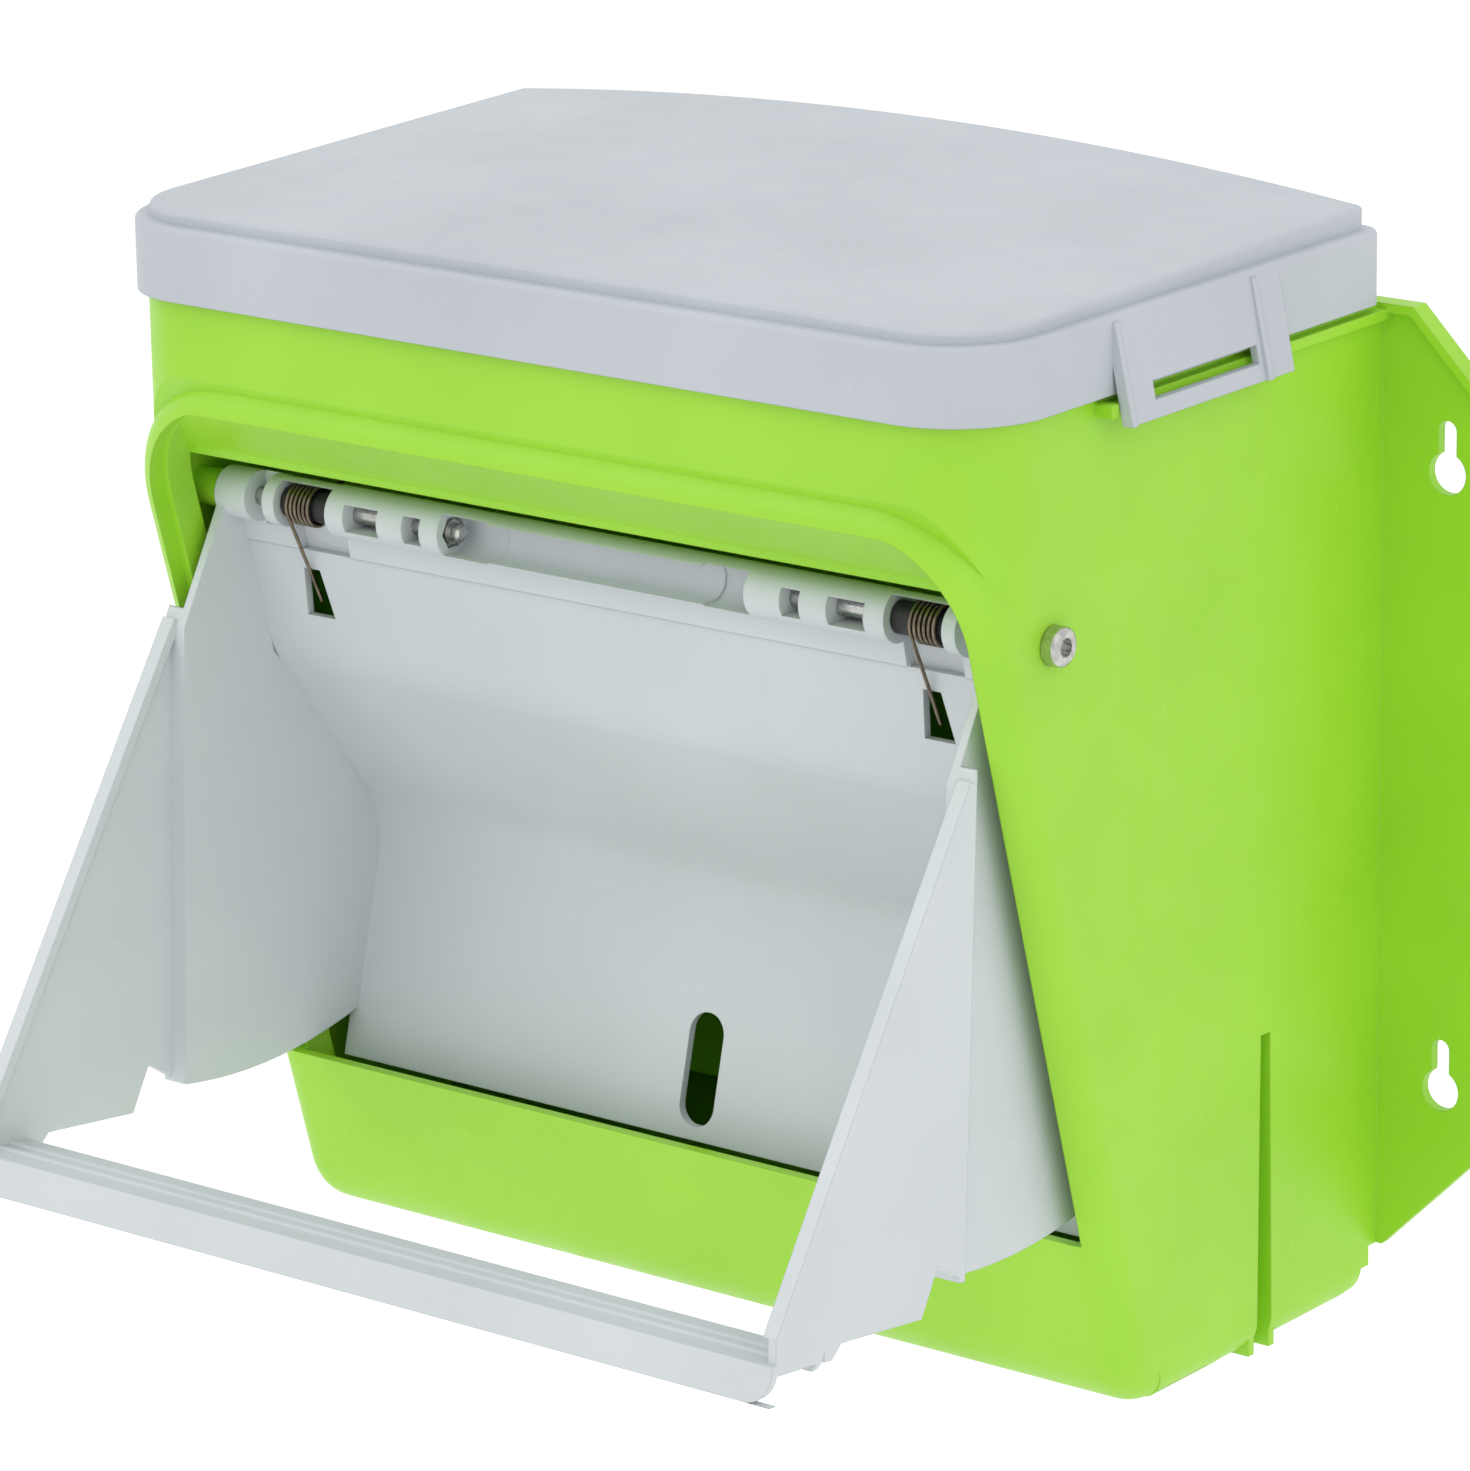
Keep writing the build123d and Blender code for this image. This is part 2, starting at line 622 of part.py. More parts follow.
with BuildPart() as flap:
    # Panel
    with BuildSketch(hinge_view):
        with BuildLine():
            front_face = FilletPolyline(panel_top, panel_knee, panel_bend, panel_foot, radius=panel_round)
            offset(front_face, amount=flap_wall, side=Side.LEFT)
        make_face()
    extrude(amount=wing_half, both=True)
    # Barrel
    with BuildSketch(hinge_view):
        Circle(barrel_radius)
        Polygon((0, 0), (barrel_radius, 0), (barrel_radius, -barrel_radius * 1.5),
                (panel_top[0] + 1, -barrel_radius * 2), align=None)
    extrude(amount=wing_half, both=True)
    # Wings: inner plates, outer plates and the steps between them
    for side in sides:
        plane, length = across(side * (wing_half - flap_wall), side * wing_half, hinge_view)
        with BuildSketch(plane):
            with BuildLine():
                Polyline(panel_arc, panel_bend, panel_knee, panel_top, (0, 0), wing_brow,
                         step_top_front, step_foot_front)
                ThreePointArc(step_foot_front, arc_middle, panel_arc)
            make_face()
        extrude(amount=length)
        plane, length = across(side * (wing_half - flap_wall), side * outer_half, hinge_view)
        with BuildSketch(plane):
            Polygon(step_top_back, step_top_front, step_foot_front, step_foot_back, align=None)
        extrude(amount=length)
        plane, length = across(side * (outer_half - flap_wall), side * outer_half, hinge_view)
        with BuildSketch(plane):
            Polygon(step_top_back, step_top_front, wing_top, wing_nose, wing_toe, *wing_foot,
                    wing_heel, wing_instep, step_foot_back, align=None)
        extrude(amount=length)
        plane, length = across(side * (outer_half - edge_thick), side * outer_half, hinge_view)
        with BuildSketch(plane):
            Polygon(wing_top, wing_nose, (wing_nose[0] + edge_in[0], wing_nose[1] + edge_in[1]),
                    (wing_top[0] + edge_in[0], wing_top[1] + edge_in[1]), align=None)
        extrude(amount=length)
    # Perch bar with two ridges, rounded at its ends
    with BuildSketch(hinge_view):
        Polygon(on_bar(0, 0), on_bar(bar_depth, 0), on_bar(bar_depth, -bar_back_lip),
                on_bar(bar_depth - bar_wall, -bar_back_lip), on_bar(bar_depth - bar_wall, -bar_wall),
                on_bar(bar_wall, -bar_wall), on_bar(bar_wall, -bar_lip), on_bar(0, -bar_lip), align=None)
        for place in ridge_places:
            with Locations(on_bar(place, 0)):
                Circle(ridge_height)
    extrude(amount=outer_half, both=True)
    for side in sides:
        bar_end = Plane.XZ.offset(-(hinge_y + bar_corner[0] - bar_depth))
        foot_z = hinge_z + on_bar(0, -bar_lip)[1]
        with BuildSketch(bar_end):
            with Locations((side * (outer_half - bar_end_round / 2), foot_z + bar_end_round / 2)):
                Rectangle(bar_end_round, bar_end_round)
            with Locations((side * (outer_half - bar_end_round), foot_z + bar_end_round)):
                Circle(bar_end_round, mode=Mode.SUBTRACT)
        extrude(amount=-2 * bar_depth, mode=Mode.SUBTRACT)
    # Holes: slot, leg windows and bays, then the barrel's openings and bores
    with BuildSketch(Plane.XZ.offset(-hinge_y)):
        with Locations((slot_shift, hinge_z - slot_drop)):
            SlotOverall(slot_length, 2 * slot_radius, rotation=90)
        top_half, foot_half = leg_window_widths[0] / 2, leg_window_widths[1] / 2
        for start in spring_starts:
            middle = start - coil_width - leg_drift * leg_window_lean
            Polygon(
                (middle - top_half, hinge_z + leg_window_top),
                (middle + top_half, hinge_z + leg_window_top),
                (middle + foot_half, hinge_z + leg_window_foot),
                (middle - foot_half, hinge_z + leg_window_foot),
                align=None,
            )
    extrude(amount=-(panel_bend[0] + 3 * barrel_radius), mode=Mode.SUBTRACT)
    for side in sides:
        bay_near, bay_far = side * bay_start + flap_shift, side * bay_end + flap_shift
        barrel_cut(bay_near, bay_far, bay_radius)
        plane, length = across(bay_near, bay_far, hinge_view)
        with BuildSketch(plane):
            Polygon((-barrel_radius - 1, 0), (bay_radius / 2, 0), (bay_radius, -bay_drop),
                    (-barrel_radius - 1, -bay_drop), align=None)
            with Locations((barrel_radius, coil_radius)):
                Rectangle(2 * barrel_radius, leg_channel_height)
        extrude(amount=length, mode=Mode.SUBTRACT)
        barrel_cut(side * channel_end, side * nut_inner, pocket_radius)
        for near, far in window_spans:
            barrel_cut(side * near + flap_shift, side * far + flap_shift, barrel_radius,
                       back=window_depth, half_height=window_half_height)
        barrel_cut(side * end_gap[0] + flap_shift, side * end_gap[1] + flap_shift, barrel_radius,
                   back=end_gap_depth, half_height=barrel_radius + 1)
        plane, length = across(side * nut_inner, side * (nut_outer + nut_gap), hinge_view)
        with BuildSketch(plane):
            RegularPolygon(nut_flats / 2 + nut_gap, 6, major_radius=False)
        extrude(amount=length, mode=Mode.SUBTRACT)
        plane, length = across(side * nut_inner, side * (wing_half + 1), hinge_view)
        with BuildSketch(plane):
            Circle(bore_radius)
        extrude(amount=length, mode=Mode.SUBTRACT)
    barrel_cut(-channel_end, channel_end, channel_radius)


def screw(side):
    """A pan-head hinge screw, put in from one side."""
    head = half_width + head_gap
    with BuildPart() as piece:
        plane, length = across(side * head, side * (head - screw_length), hinge_view)
        with BuildSketch(plane):
            Circle(screw_radius)
        extrude(amount=length)
        plane, length = across(side * head, side * (head + screw_head_height), hinge_view)
        with BuildSketch(plane):
            Circle(screw_head_radius)
        extrude(amount=length)
        rim = piece.edges().filter_by(GeomType.CIRCLE).sort_by(Axis.X)
        fillet(rim[-1] if side > 0 else rim[0], 1.2)
        face = head + screw_head_height
        plane, length = across(side * (face - screw_recess_depth), side * (face + 1), hinge_view)
        with BuildSketch(plane):
            RegularPolygon(screw_recess_radius, 6)
            RegularPolygon(screw_recess_radius, 6, rotation=30)
        extrude(amount=length, mode=Mode.SUBTRACT)
        tip = piece.edges().filter_by(GeomType.CIRCLE).sort_by(Axis.X)
        chamfer(tip[0] if side > 0 else tip[-1], 0.7)
    return piece


def nut(side):
    """A self-locking nut: a hexagon with a round collar on its inner side."""
    with BuildPart() as piece:
        plane, length = across(side * (nut_inner + nut_collar), side * nut_outer, hinge_view)
        with BuildSketch(plane):
            RegularPolygon(nut_flats / 2, 6, major_radius=False)
        extrude(amount=length)
        plane, length = across(side * nut_inner, side * (nut_inner + nut_collar), hinge_view)
        with BuildSketch(plane):
            Circle(nut_collar_radius)
        extrude(amount=length)
        plane, length = across(side * nut_inner, side * nut_outer, hinge_view)
        with BuildSketch(plane):
            Circle(screw_radius + thread_gap)
        extrude(amount=length, mode=Mode.SUBTRACT)
    return piece


def sleeve(side):
    """The plain sleeve that the spring is wound round."""
    with BuildPart() as piece:
        plane, length = across(side * sleeve_start + flap_shift, side * sleeve_end + flap_shift, hinge_view)
        with BuildSketch(plane):
            Circle(sleeve_radius)
            Circle(bore_radius, mode=Mode.SUBTRACT)
        extrude(amount=length)
    return piece


# Springs: both are the same part, so their coils turn the same way
def coil_point(angle, start):
    """A point of the coil and its direction of travel, at an angle in radians."""
    rate = -coil_pitch / (2 * pi)
    x = start + rate * (angle - first_angle)
    point = Vector(x, hinge_y + coil_radius * cos(angle), hinge_z + coil_radius * sin(angle))
    way = Vector(rate, -coil_radius * sin(angle), coil_radius * cos(angle)).normalized()
    return point, way


def biarc(a, way_a, b, way_b):
    """Two arcs in line with each other and with both directions."""
    span = b - a
    both = way_a + way_b
    qa = both.dot(both) - 4
    qb = -2 * span.dot(both)
    qc = span.dot(span)
    d = (-qb - sqrt(qb * qb - 4 * qa * qc)) / (2 * qa)
    middle = (a + way_a * d + b - way_b * d) * 0.5
    way = (b - way_b * d - a - way_a * d).normalized()
    TangentArc(a, middle, tangent=way_a)
    TangentArc(middle, b, tangent=way)


def spring(start):
    """One torsion spring: a leg to the housing, the coil leftwards, and a leg through the flap."""
    with BuildPart() as piece:
        with BuildLine() as path:
            point, way = coil_point(first_angle, start)
            Line(point - way * housing_leg, point)
            for i in range(quarter_count):
                following, next_way = coil_point(first_angle + (i + 1) * quarter, start)
                biarc(point, way, following, next_way)
                point, way = following, next_way
            Line(point, point + way * leg_length)
        with BuildSketch(Plane(origin=path.line @ 0, z_dir=path.line % 0)):
            Circle(wire_radius)
        sweep(path=path.line)
    return piece


# Least gap between one turn of wire and the next, measured on points
def least_gap():
    points = []
    for i in range(quarter_count * 6 + 1):
        points.append(coil_point(first_angle + i * quarter / 6, coil_start)[0])
    gaps = []
    for i, point in enumerate(points):
        for other in points[i + 12:]:
            gaps.append((point - other).length - 2 * wire_radius)
    return min(gaps)


print("least gap of the spring to itself, mm:", round(least_gap(), 3))

with BuildPart() as feed_baffle:
    with BuildSketch(Plane.XZ.offset(-(throat_y - seat_gap))) as baffle_outline:
        with Locations((0, baffle_z + baffle_height / 2)):
            Rectangle(2 * (groove_inner - seat_gap), baffle_height)
        fillet(baffle_outline.vertices(), 3)
    extrude(amount=baffle_thick)


# Lid: skirt, raised and gently crowned top, and a latch on each side
def crown_block(drop):
    """Everything below the lid's crowned top, or below a skin of that drop."""
    base = lid_bottom - 20
    near = lid_front - 10
    far = lid_rear + 10
    level = lid_top + lid_rise - drop
    rate = (far - lid_front) / (lid_rear - lid_front)
    reach = lid_half + 10
    with BuildPart() as block:
        for y, middle, corner in ((near, 0.1, 0.0), (far, lid_crown * rate, lid_corner_rise * rate)):
            with BuildSketch(Plane.XZ.offset(-y)):
                with BuildLine():
                    Polyline((-reach, level + corner), (-reach, base), (reach, base), (reach, level + corner))
                    ThreePointArc((-reach, level + corner), (0, level + middle), (reach, level + corner))
                make_face()
        loft(ruled=True)
    return block.part


def lid_outline(inset):
    """The lid's outline in plan, drawn in by an inset."""
    with Locations((0, (lid_front + lid_rear) / 2)):
        plan = Rectangle(2 * (lid_half - inset), lid_rear - lid_front - 2 * inset)
    return plan


def lid_prism(inset, low, high):
    """A prism on the lid's outline, with its front corners more rounded."""
    with BuildPart() as prism:
        with BuildSketch(Plane.XY.offset(low)) as plan:
            lid_outline(inset)
            fillet(plan.vertices().group_by(Axis.Y)[0], lid_corner - inset)
            fillet(plan.vertices().group_by(Axis.Y)[-1], max(lid_rear_round - inset, 0.8))
        extrude(amount=high - low)
    return prism.part


with BuildPart() as crown_top:
    add(lid_prism(lid_step, top_z, lid_top + lid_rise + lid_crown + 5))
    add(crown_block(0), mode=Mode.INTERSECT)
    fillet(crown_top.faces().filter_by(GeomType.BSPLINE)[0].edges(), lid_crown_round)

with BuildPart() as crown_space:
    add(lid_prism(lid_step + lid_wall, lid_bottom - 5, lid_top + lid_rise + lid_crown + 5))
    add(crown_block(lid_wall), mode=Mode.INTERSECT)

latch_y = lid_front + latch_front
latch_foot = lid_bottom - latch_drop
latch_head = lid_top - lid_edge_round
window_low = latch_foot + latch_window_foot


def latch_section(side, proud):
    """The latch's flared plate, or a fin on it that stands out by so much."""
    meeting_z = latch_head - (latch_head - latch_foot) * latch_wall / latch_flare
    Polygon(
        (side * (lid_half - 0.5), latch_head),
        (side * (lid_half + proud / 2), latch_head),
        (side * (lid_half + latch_flare + proud), latch_foot),
        (side * (lid_half + latch_flare - latch_wall), latch_foot),
        (side * lid_half, meeting_z),
        (side * (lid_half - 0.5), meeting_z),
        align=None,
    )


with BuildPart() as lid:
    add(lid_prism(0, lid_bottom, lid_top))
    fillet(lid.faces().sort_by(Axis.Z)[-1].edges(), lid_edge_round)
    add(crown_top.part)
    add(lid_prism(lid_wall, lid_bottom - 1, top_z), mode=Mode.SUBTRACT)
    add(crown_space.part, mode=Mode.SUBTRACT)
    # Latches
    for side in sides:
        with BuildSketch(Plane.XZ.offset(-latch_y)):
            latch_section(side, 0)
        extrude(amount=-latch_length)
        plane, length = across(side * (lid_half + 0.3), side * (lid_half + 2 * latch_flare))
        with BuildSketch(plane):
            window_middle = latch_y + (latch_window_span[0] + latch_window_span[1]) / 2
            with Locations((window_middle, window_low + latch_window_height / 2)):
                Rectangle(latch_window_span[1] - latch_window_span[0], latch_window_height)
        extrude(amount=length, mode=Mode.SUBTRACT)
        for place in fin_places:
            with BuildSketch(Plane.XZ.offset(-latch_y - place)):
                latch_section(side, fin_proud)
            extrude(amount=-fin_wall)

hinge_screw_left = screw(-1)
hinge_screw_right = screw(1)
lock_nut_left = nut(-1)
lock_nut_right = nut(1)
spring_sleeve_left = sleeve(-1)
spring_sleeve_right = sleeve(1)
torsion_spring_left = spring(spring_starts[0])
torsion_spring_right = spring(spring_starts[1])

pieces = {
    "housing": housing,
    "lid": lid,
    "flap": flap,
    "feed_baffle": feed_baffle,
    "hinge_screw_left": hinge_screw_left,
    "hinge_screw_right": hinge_screw_right,
    "lock_nut_left": lock_nut_left,
    "lock_nut_right": lock_nut_right,
    "spring_sleeve_left": spring_sleeve_left,
    "spring_sleeve_right": spring_sleeve_right,
    "torsion_spring_left": torsion_spring_left,
    "torsion_spring_right": torsion_spring_right,
}

os.makedirs("parts", exist_ok=True)
for name, piece in pieces.items():
    piece.part.label = name
    export_step(piece.part, f"parts/{name}.step")
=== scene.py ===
"""Wall-hung poultry feeder: its looks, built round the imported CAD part."""

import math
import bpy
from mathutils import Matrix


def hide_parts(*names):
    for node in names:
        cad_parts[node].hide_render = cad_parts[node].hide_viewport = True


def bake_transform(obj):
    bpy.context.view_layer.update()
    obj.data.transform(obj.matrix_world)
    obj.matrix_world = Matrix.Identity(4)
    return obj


bl_info = {
    "name": "Poultry feeder looks",
    "version": (1, 0, 0),
    "blender": (4, 5, 0),
    "location": "3D Viewport > Sidebar > Feeder",
    "description": "Dresses the packed poultry feeder and sets its stage",
    "category": "Object",
}

import bmesh
import bpy
from bpy.props import FloatProperty, FloatVectorProperty, IntProperty, PointerProperty
from mathutils import Matrix, Vector

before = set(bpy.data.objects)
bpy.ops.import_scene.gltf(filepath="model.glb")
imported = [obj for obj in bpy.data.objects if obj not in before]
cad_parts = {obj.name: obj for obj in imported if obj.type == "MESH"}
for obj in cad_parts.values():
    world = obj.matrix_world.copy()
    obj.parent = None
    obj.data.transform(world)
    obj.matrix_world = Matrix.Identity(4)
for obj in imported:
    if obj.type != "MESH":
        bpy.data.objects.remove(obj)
MM = 0.001
WHITE = (1.0, 1.0, 1.0, 1.0)

# Sizes of the plastics' uneven spots, in millimetres
TONE_MM = 70  # slow drift of the colour
SCUFF_MM = 9  # rubbed spots
GLOSS_MM = 12  # uneven gloss
FLOW_MM = 45  # shallow waves of the moulding
FLOW_DEPTH_MM = 0.3
SCUFF_SHARE = 0.36

# Sizes of the metals' uneven spots, in millimetres
TARNISH_MM = 3
STREAK_MM = 1.5
LINE_MM = 0.6
LINE_DEPTH_MM = 0.02


def linear(value):
    """One sRGB channel from 0 to 1, made linear."""
    return value / 12.92 if value <= 0.04045 else ((value + 0.055) / 1.055) ** 2.4


def colour(text):
    """A linear colour from a hex sRGB one."""
    return [linear(int(text[i : i + 2], 16) / 255) for i in (1, 3, 5)] + [1.0]


def shown_or_glossy(nodes, links):
    """A socket that is 1 for what the camera or a gloss sees straight away."""
    path = nodes.new("ShaderNodeLightPath")
    either = nodes.new("ShaderNodeMath")
    either.operation = "MAXIMUM"
    links.new(path.outputs["Is Camera Ray"], either.inputs[0])
    links.new(path.outputs["Is Glossy Ray"], either.inputs[1])
    return either.outputs[0]


# Materials
class Shader:
    """A small helper that adds and joins nodes of one material."""

    def __init__(self, name):
        self.material = bpy.data.materials.new(name)
        self.material.use_nodes = True
        self.nodes = self.material.node_tree.nodes
        self.links = self.material.node_tree.links
        self.surface = self.nodes["Principled BSDF"]
        self.place = self.add("ShaderNodeTexCoord").outputs["Object"]

    def add(self, kind, **values):
        node = self.nodes.new(kind)
        for key, value in values.items():
            if hasattr(node, key):
                setattr(node, key, value)
            else:
                node.inputs[key.replace("_", " ")].default_value = value
        return node

    def noise(self, size_mm, detail=2.0, rough=0.5, stretch=(1, 1, 1)):
        mapping = self.add("ShaderNodeMapping")
        mapping.inputs["Scale"].default_value = stretch
        noise = self.add(
            "ShaderNodeTexNoise", Scale=1 / (size_mm * MM), Detail=detail, Roughness=rough
        )
        self.links.new(self.place, mapping.inputs["Vector"])
        self.links.new(mapping.outputs["Vector"], noise.inputs["Vector"])
        return noise.outputs["Fac"]

    def spread(self, value, low, high, start=0.35, end=0.65):
        ramp = self.add(
            "ShaderNodeMapRange", From_Min=start, From_Max=end, To_Min=low, To_Max=high
        )
        self.links.new(value, ramp.inputs["Value"])
        return ramp.outputs["Result"]

    def mix(self, factor, first, second):
        mix = self.add("ShaderNodeMix", data_type="RGBA")
        mix.inputs[6].default_value = first
        mix.inputs[7].default_value = second
        self.links.new(factor, mix.inputs[0])
        return mix.outputs[2]

    def rounded(self, radius_mm):
        """A normal that rounds sharp edges by a radius, as a mould does."""
        return self.add("ShaderNodeBevel", samples=6, Radius=radius_mm * MM).outputs["Normal"]

    def wear(self, size_mm, share, fade=0.12):
        """A sparse mask of rubbed spots, with soft edges."""
        spots = self.noise(size_mm, 6, 0.7)
        return self.spread(spots, 0, 1, 1 - share, 1 - share + fade)

    def mix_over(self, factor, below, top):
        """A colour laid over another node's colour where the factor is high."""
        mix = self.add("ShaderNodeMix", data_type="RGBA")
        mix.inputs[7].default_value = top
        self.links.new(factor, mix.inputs[0])
        self.links.new(below, mix.inputs[6])
        return mix.outputs[2]

    def bump(self, height, distance_mm, strength=1.0, below=None):
        bump = self.add("ShaderNodeBump", Strength=strength, Distance=distance_mm * MM)
        self.links.new(height, bump.inputs["Height"])
        if below is not None:
            self.links.new(below, bump.inputs["Normal"])
        return bump.outputs["Normal"]

    def join(self, output, socket):
        self.links.new(output, self.surface.inputs[socket])


def moulded_plastic(name, light, dark, rubbed, rough, grain_mm, grain_depth_mm, edge_mm=0.5):
    """Injection-moulded plastic: drifting tone, rubbed spots, uneven gloss, grain, round edges."""
    shader = Shader(name)
    drift = shader.spread(shader.noise(TONE_MM, 2), 0, 1)
    tone = shader.mix(drift, colour(dark), colour(light))
    scuffs = shader.wear(SCUFF_MM, SCUFF_SHARE)
    shader.join(shader.mix_over(scuffs, tone, colour(rubbed)), "Base Color")
    gloss = shader.spread(shader.noise(GLOSS_MM, 4), rough - 0.05, rough + 0.06)
    shader.join(gloss, "Roughness")
    flow = shader.bump(shader.noise(FLOW_MM, 1), FLOW_DEPTH_MM, 0.2, shader.rounded(edge_mm))
    grain = shader.noise(grain_mm, 4, 0.65)
    shader.join(shader.bump(grain, grain_depth_mm, 0.6, flow), "Normal")
    return shader.material


def metal(name, light, dark, rough, turning=(1, 1, 1), edge_mm=0.15):
    """Metal with fine turning or drawing lines and a little tarnish."""
    shader = Shader(name)
    tarnish = shader.spread(shader.noise(TARNISH_MM, 3), 0, 1)
    shader.join(shader.mix(tarnish, colour(dark), colour(light)), "Base Color")
    streaks = shader.noise(STREAK_MM, 3, 0.6, turning)
    shader.join(shader.spread(streaks, rough - 0.06, rough + 0.1), "Roughness")
    lines = shader.noise(LINE_MM, 3, 0.6, turning)
    shader.join(shader.bump(lines, LINE_DEPTH_MM, 0.4, shader.rounded(edge_mm)), "Normal")
    shader.surface.inputs["Metallic"].default_value = 1.0
    return shader.material


def dress(material, *nodes):
    """Give CAD nodes a material."""
    for name in nodes:
        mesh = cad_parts[name].data
        mesh.materials.clear()
        mesh.materials.append(material)


# Stage
class FeederStage(bpy.types.PropertyGroup):
    """Camera, lamps and floor."""

    camera_place: FloatVectorProperty(name="Camera place, m", default=(1.1394, -1.5406, 0.5513))
    camera_right: FloatVectorProperty(name="Camera right", default=(0.78751, 0.61607, -0.01653))
    camera_up: FloatVectorProperty(name="Camera up", default=(-0.16170, 0.23243, 0.95906))
    lens: FloatProperty(name="Lens, mm", default=175.56)
    sensor: FloatProperty(name="Sensor, mm", default=36.0)
    sight: FloatProperty(name="How far the camera sees, m", default=50.0)
    floor_size: FloatProperty(name="Floor size, m", default=14.0)
    floor_level: FloatProperty(name="Floor level, m", default=-0.42)
    lamp_aim: FloatVectorProperty(name="Where the lamps point, m", default=(0.0, -0.1, 0.0))
    key_place: FloatVectorProperty(name="Key lamp place, m", default=(-1.2, -1.9, 1.9))
    side_place: FloatVectorProperty(name="Side lamp place, m", default=(2.3, -0.9, 0.9))
    top_place: FloatVectorProperty(name="Top lamp place, m", default=(0.1, -0.3, 2.4))
    key_size: FloatProperty(name="Key lamp size, m", default=1.6)
    side_size: FloatProperty(name="Side lamp size, m", default=1.8)
    top_size: FloatProperty(name="Top lamp size, m", default=1.5)
    key_power: FloatProperty(name="Key lamp, W", default=9.0)
    side_power: FloatProperty(name="Side lamp, W", default=5.0)
    top_power: FloatProperty(name="Top lamp, W", default=2.5)
    world: FloatProperty(name="World light", default=0.9)
    floor_lift: FloatProperty(name="White that the camera adds to the floor", default=0.15)


class FEEDER_OT_stage(bpy.types.Operator):
    """Make the camera, the lamps, the floor and the world"""

    bl_idname = "feeder.stage"
    bl_label = "Stage"

    def execute(self, context):
        values = context.scene.feeder_stage
        context.scene.view_settings.view_transform = "Standard"
        self.camera(context.scene, values)
        aim = Vector(values.lamp_aim)
        for name in ("key", "side", "top"):
            light = bpy.data.lights.new(name, "AREA")
            light.size = getattr(values, f"{name}_size")
            light.energy = getattr(values, f"{name}_power")
            lamp = bpy.data.objects.new(name, light)
            lamp.location = getattr(values, f"{name}_place")
            lamp.rotation_euler = (aim - lamp.location).to_track_quat("-Z", "Y").to_euler()
            context.scene.collection.objects.link(lamp)
        self.floor(context.scene, values)
        context.scene.world = self.studio(values.world)
        return {"FINISHED"}

    def camera(self, scene, values):
        """The camera, where the photographer stood."""
        right = Vector(values.camera_right).normalized()
        up = Vector(values.camera_up).normalized()
        turn = Matrix((right, up, right.cross(up))).transposed().to_4x4()
        data = bpy.data.cameras.new("camera")
        data.lens = values.lens
        data.sensor_width = values.sensor
        data.clip_end = values.sight
        camera = bpy.data.objects.new("camera", data)
        camera.matrix_world = Matrix.Translation(values.camera_place) @ turn
        scene.collection.objects.link(camera)
        scene.camera = camera

    def floor(self, scene, values):
        """The floor below the hung feeder."""
        mesh = bpy.data.meshes.new("floor")
        shape = bmesh.new()
        half = values.floor_size / 2
        bmesh.ops.create_grid(shape, x_segments=1, y_segments=1, size=half)
        shape.to_mesh(mesh)
        shape.free()
        stand = bpy.data.objects.new("floor", mesh)
        stand.location = (0, 0, values.floor_level)
        scene.collection.objects.link(stand)
        mesh.materials.append(self.white("floor_white", values.floor_lift))

    def studio(self, strength):
        """Soft light from all round, which the camera and gloss see as white."""
        world = bpy.data.worlds.new("studio")
        world.use_nodes = True
        nodes, links = world.node_tree.nodes, world.node_tree.links
        soft = nodes["Background"]
        seen = nodes.new("ShaderNodeBackground")
        for background, level in ((soft, strength), (seen, 1.0)):
            background.inputs["Color"].default_value = WHITE
            background.inputs["Strength"].default_value = level
        mix = nodes.new("ShaderNodeMixShader")
        links.new(shown_or_glossy(nodes, links), mix.inputs[0])
        links.new(soft.outputs[0], mix.inputs[1])
        links.new(seen.outputs[0], mix.inputs[2])
        links.new(mix.outputs[0], nodes["World Output"].inputs["Surface"])
        return world

    def white(self, name, lift):
        """Floor paint: lit white that keeps the shadow, lifted for the camera and for gloss."""
        shader = Shader(name)
        tone = shader.mix(shader.noise(600), colour("#fbfbfb"), colour("#ffffff"))
        shader.join(tone, "Base Color")
        shader.surface.inputs["Roughness"].default_value = 0.8
        seen = shown_or_glossy(shader.nodes, shader.links)
        shader.join(shader.spread(seen, 0, lift, 0, 1), "Emission Strength")
        shader.surface.inputs["Emission Color"].default_value = WHITE
        return shader.material


class FEEDER_OT_plastics(bpy.types.Operator):
    """Give the moulded parts their plastics"""

    bl_idname = "feeder.plastics"
    bl_label = "Plastics"

    def execute(self, context):
        green = moulded_plastic(
            "green polypropylene, semi-matt", "#a2de34", "#9cd82e", "#a8e240", 0.4, 0.7, 0.02
        )
        lid = moulded_plastic(
            "grey polypropylene, fine grain", "#c2c8ce", "#bcc2c8", "#c7ccd1", 0.52, 0.8, 0.04
        )
        grey = moulded_plastic(
            "pale grey polypropylene, semi-matt", "#d3d9dc", "#ced4d7", "#d8dde0", 0.42, 0.7, 0.02
        )
        black = moulded_plastic(
            "black nylon, matt", "#1c1c1e", "#151516", "#26262a", 0.5, 0.6, 0.02, 0.15
        )
        dress(green, "housing", "feed_baffle")
        dress(lid, "lid")
        dress(grey, "flap")
        dress(black, "spring_sleeve_left", "spring_sleeve_right")
        return {"FINISHED"}


class FEEDER_OT_metals(bpy.types.Operator):
    """Give the screws and nuts their metal"""

    bl_idname = "feeder.metals"
    bl_label = "Screws and nuts"

    def execute(self, context):
        zinc = metal("zinc-plated steel, bright", "#cfcfcc", "#a9a9a6", 0.28, (4, 1, 1))
        dress(zinc, "hinge_screw_left", "hinge_screw_right", "lock_nut_left", "lock_nut_right")
        return {"FINISHED"}


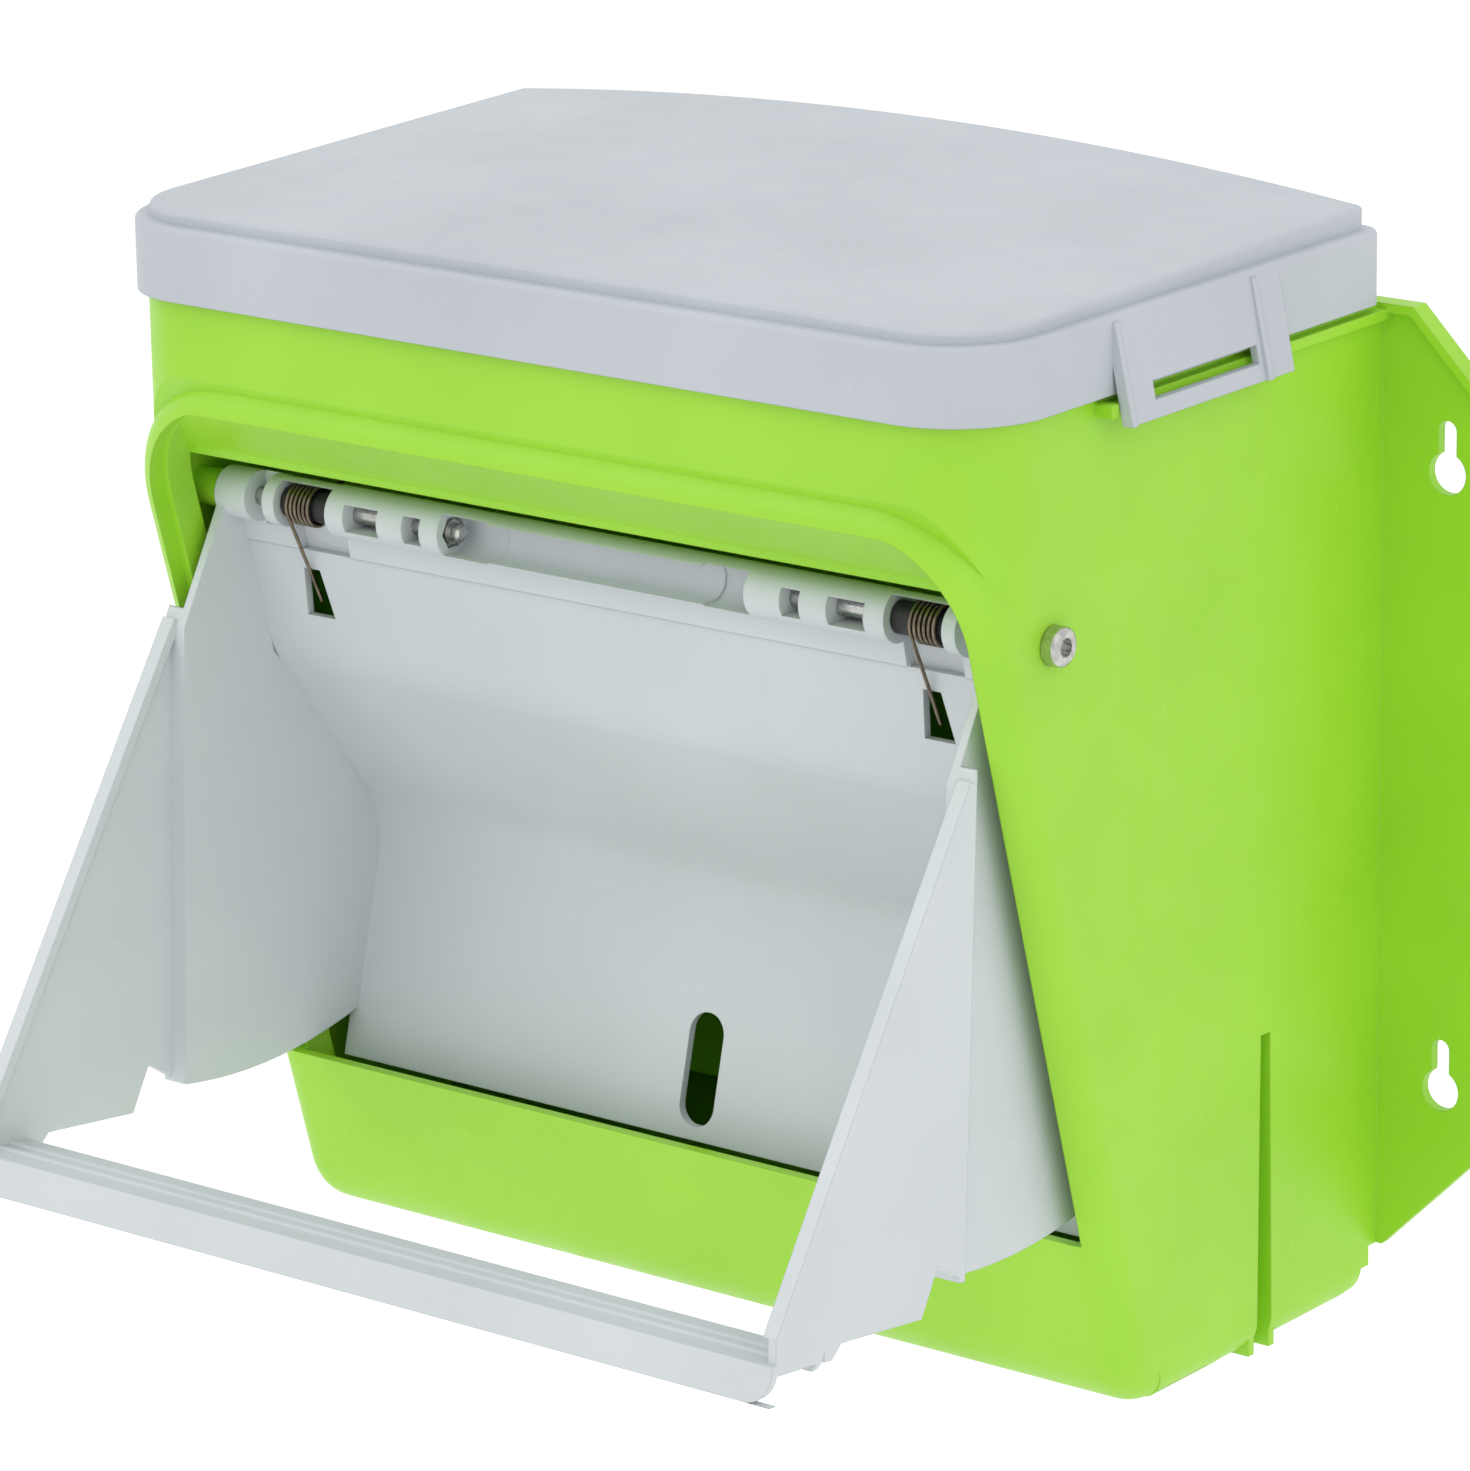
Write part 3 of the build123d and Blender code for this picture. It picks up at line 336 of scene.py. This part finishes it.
# Springs
class FeederSprings(bpy.types.PropertyGroup):
    """The wound wire, in millimetres, with the places that the CAD part gives it."""

    wire_radius: FloatProperty(name="Wire radius", default=0.52)
    coil_radius: FloatProperty(name="Coil radius", default=5.4)
    pitch: FloatProperty(name="Pitch", default=1.48)
    turns: IntProperty(name="Whole turns", default=5)
    housing_leg: FloatProperty(name="Leg to the housing", default=18.3)
    flap_leg: FloatVectorProperty(name="End of the flap's leg", size=2, default=(9.3, -29.5))
    hinge: FloatVectorProperty(name="Hinge, back and up", size=2, default=(-152.0, 70.0))
    inner_end: FloatProperty(name="Inner end of the coils from the middle", default=99.9)
    shift: FloatProperty(name="Both coils moved right by", default=2.6)
    steps: IntProperty(name="Points to a turn", default=40)


class FEEDER_OT_springs(bpy.types.Operator):
    """Wind both torsion springs from round wire"""

    bl_idname = "feeder.springs"
    bl_label = "Springs"

    def execute(self, context):
        values = context.scene.feeder_springs
        wire = metal("spring steel, drawn and oiled", "#8d7f6f", "#6d6155", 0.34, (1, 3, 3), 0.05)
        reach = math.hypot(*values.flap_leg)
        leg_angle = math.atan2(values.flap_leg[1], values.flap_leg[0])
        leave = (leg_angle - math.pi / 2 + math.asin(values.coil_radius / reach)) % (2 * math.pi)
        sweep = leave + 2 * math.pi * values.turns - math.pi / 2
        width = values.pitch * sweep / (2 * math.pi)
        leg = math.sqrt(reach**2 - values.coil_radius**2)
        starts = {
            "left": values.shift - values.inner_end,
            "right": values.shift + values.inner_end + width,
        }
        for side, start in starts.items():
            route = self.route(values, start, sweep, leg)
            spring = self.tube(f"torsion_spring_{side}_wire", route, values.wire_radius)
            spring.data.materials.append(wire)
            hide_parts(f"torsion_spring_{side}")
            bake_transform(spring)
        return {"FINISHED"}

    def route(self, values, start, sweep, leg):
        """The wire's middle line: straight leg, coil leftwards, straight leg."""
        rate = -values.pitch / (2 * math.pi)
        count = round(values.steps * sweep / (2 * math.pi))

        def on_coil(turned):
            angle = math.pi / 2 + turned
            y, z = values.coil_radius * math.cos(angle), values.coil_radius * math.sin(angle)
            place = Vector((start + rate * turned, values.hinge[0] + y, values.hinge[1] + z))
            return place, Vector((rate, -z, y)).normalized()

        first, first_way = on_coil(0)
        last, last_way = on_coil(sweep)
        coil = [on_coil(sweep * i / count)[0] for i in range(count + 1)]
        return [first - first_way * values.housing_leg] + coil + [last + last_way * leg]

    def tube(self, name, route, radius):
        """A round wire along a route, with closed ends."""
        curve = bpy.data.curves.new(name, "CURVE")
        curve.dimensions = "3D"
        curve.bevel_depth = radius * MM
        curve.bevel_resolution = 4
        curve.use_fill_caps = True
        line = curve.splines.new("POLY")
        line.points.add(len(route) - 1)
        for point, place in zip(line.points, route):
            point.co = (*(place * MM), 1.0)
        drawn = bpy.data.objects.new(f"{name}_line", curve)
        mesh = bpy.data.meshes.new_from_object(drawn)
        bpy.data.objects.remove(drawn)
        for face in mesh.polygons:
            face.use_smooth = len(face.vertices) == 4
        spring = bpy.data.objects.new(name, mesh)
        bpy.context.scene.collection.objects.link(spring)
        return spring


class FEEDER_PT_panel(bpy.types.Panel):
    """The add-on's one panel"""

    bl_label = "Feeder"
    bl_space_type = "VIEW_3D"
    bl_region_type = "UI"
    bl_category = "Feeder"

    def draw(self, context):
        for name in STEPS:
            self.layout.operator(f"feeder.{name}")
        for group, owner in ((FeederStage, "feeder_stage"), (FeederSprings, "feeder_springs")):
            for name in group.__annotations__:
                self.layout.prop(getattr(context.scene, owner), name)


STEPS = ("stage", "plastics", "metals", "springs")
CLASSES = (
    FeederStage,
    FeederSprings,
    FEEDER_OT_stage,
    FEEDER_OT_plastics,
    FEEDER_OT_metals,
    FEEDER_OT_springs,
    FEEDER_PT_panel,
)


def register():
    for item in CLASSES:
        bpy.utils.register_class(item)
    bpy.types.Scene.feeder_stage = PointerProperty(type=FeederStage)
    bpy.types.Scene.feeder_springs = PointerProperty(type=FeederSprings)


def unregister():
    del bpy.types.Scene.feeder_stage
    del bpy.types.Scene.feeder_springs
    for item in reversed(CLASSES):
        bpy.utils.unregister_class(item)


def main():
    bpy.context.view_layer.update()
    register()
    for name in STEPS:
        getattr(bpy.ops.feeder, name)()


if __name__ == "__main__":
    main()
